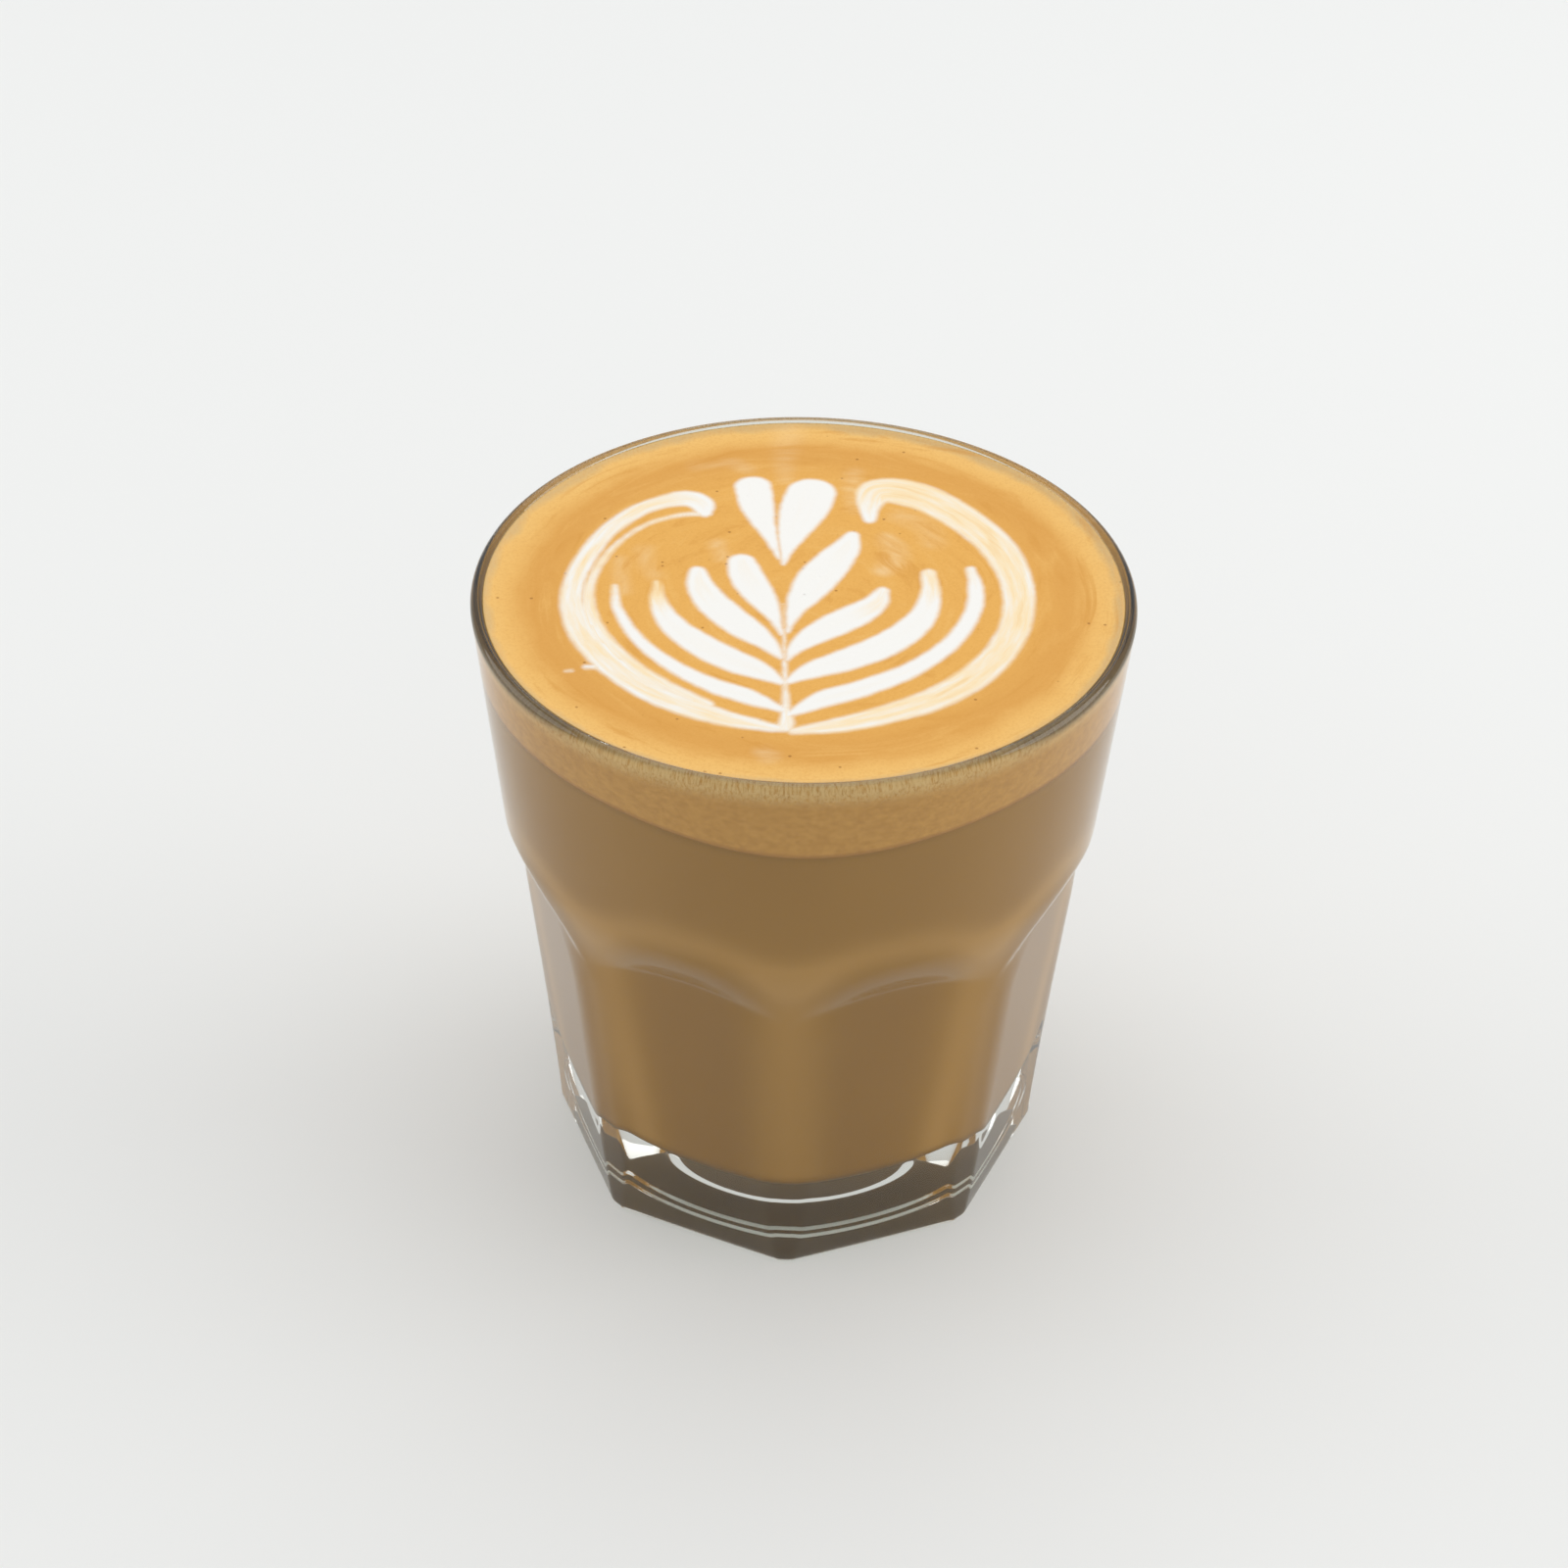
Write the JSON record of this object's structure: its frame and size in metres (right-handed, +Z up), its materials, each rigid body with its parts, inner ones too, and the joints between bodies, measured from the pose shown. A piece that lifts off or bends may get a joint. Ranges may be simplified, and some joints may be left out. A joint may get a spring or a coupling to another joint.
{
  "type": "cortado in a glass",
  "caption": "Small tumbler, round above and faceted below, filled to the brim with milk coffee under a layer of foam with a poured leaf pattern.",
  "frame": {"origin": "centre of the foot, on the surface the glass stands on", "axes": "+Z up along the glass's axis; one ridge between two facets on -Y, and the leaf pattern's tip towards +Y"},
  "size_m": [0.076, 0.076, 0.0778],
  "materials": {
    "glass": "clear pressed glass, polished, with a faint green tint",
    "coffee": "opaque milk coffee, smooth where it meets the glass",
    "foam": "dense golden coffee foam with fine bubbles and swirls",
    "milk": "silky white milk foam with soft, slightly stained edges"
  },
  "bodies": {
    "root": {"glass": "glass", "coffee": "coffee", "foam": "foam", "milk_rosette": "milk"}
  },
  "joints": []
}
